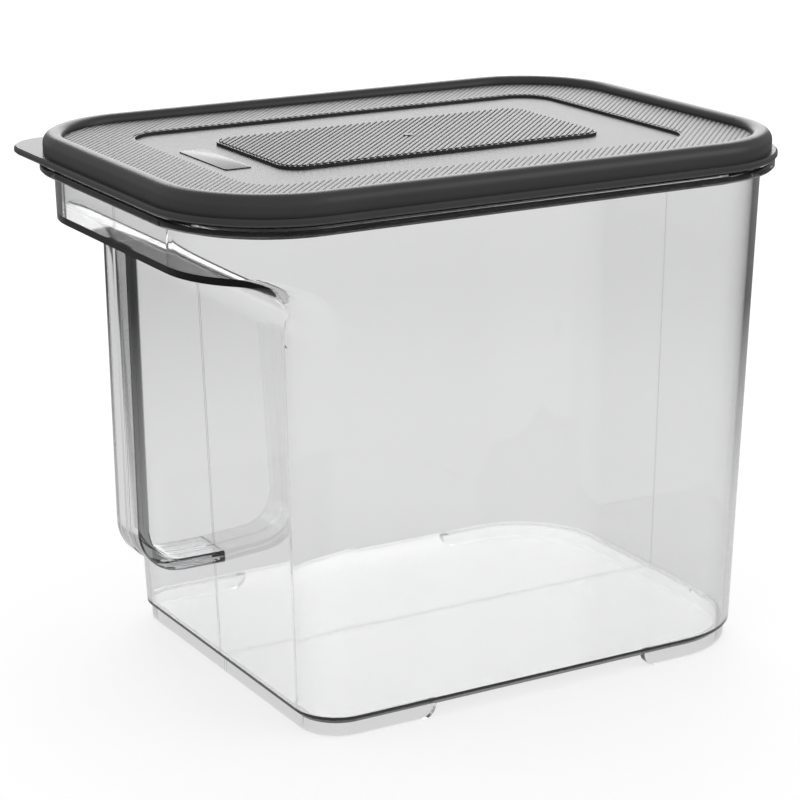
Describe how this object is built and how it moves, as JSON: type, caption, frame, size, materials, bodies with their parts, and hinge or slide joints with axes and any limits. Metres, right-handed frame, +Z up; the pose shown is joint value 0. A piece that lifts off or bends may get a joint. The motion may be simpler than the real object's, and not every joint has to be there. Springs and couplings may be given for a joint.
{
  "type": "dry food container",
  "caption": "Clear plastic food box with rounded corners, an end cut back under an overhang for an upright bar handle, low feet and a dark press-on lid with a pull corner.",
  "frame": {"origin": "on the surface that the box stands on, under the middle of its overall length and width", "axes": "+X along the long side away from the handle end, +Y across the box towards the side with the lid's pull corner, +Z up"},
  "size_m": [0.2164, 0.1524, 0.172],
  "materials": {
    "smoky_clear_plastic": "clear, slightly smoky, polished",
    "dark_grey_plastic": "satin, with fine moulded ribs"
  },
  "bodies": {
    "box": {"tub": "smoky_clear_plastic", "handle": "smoky_clear_plastic"},
    "cover": {"lid": "dark_grey_plastic"}
  },
  "joints": [
    {"name": "lid_lift", "type": "slide", "parent": "box", "child": "cover", "axis": [0, 0, 1], "range_m": [0, 0.06]}
  ]
}
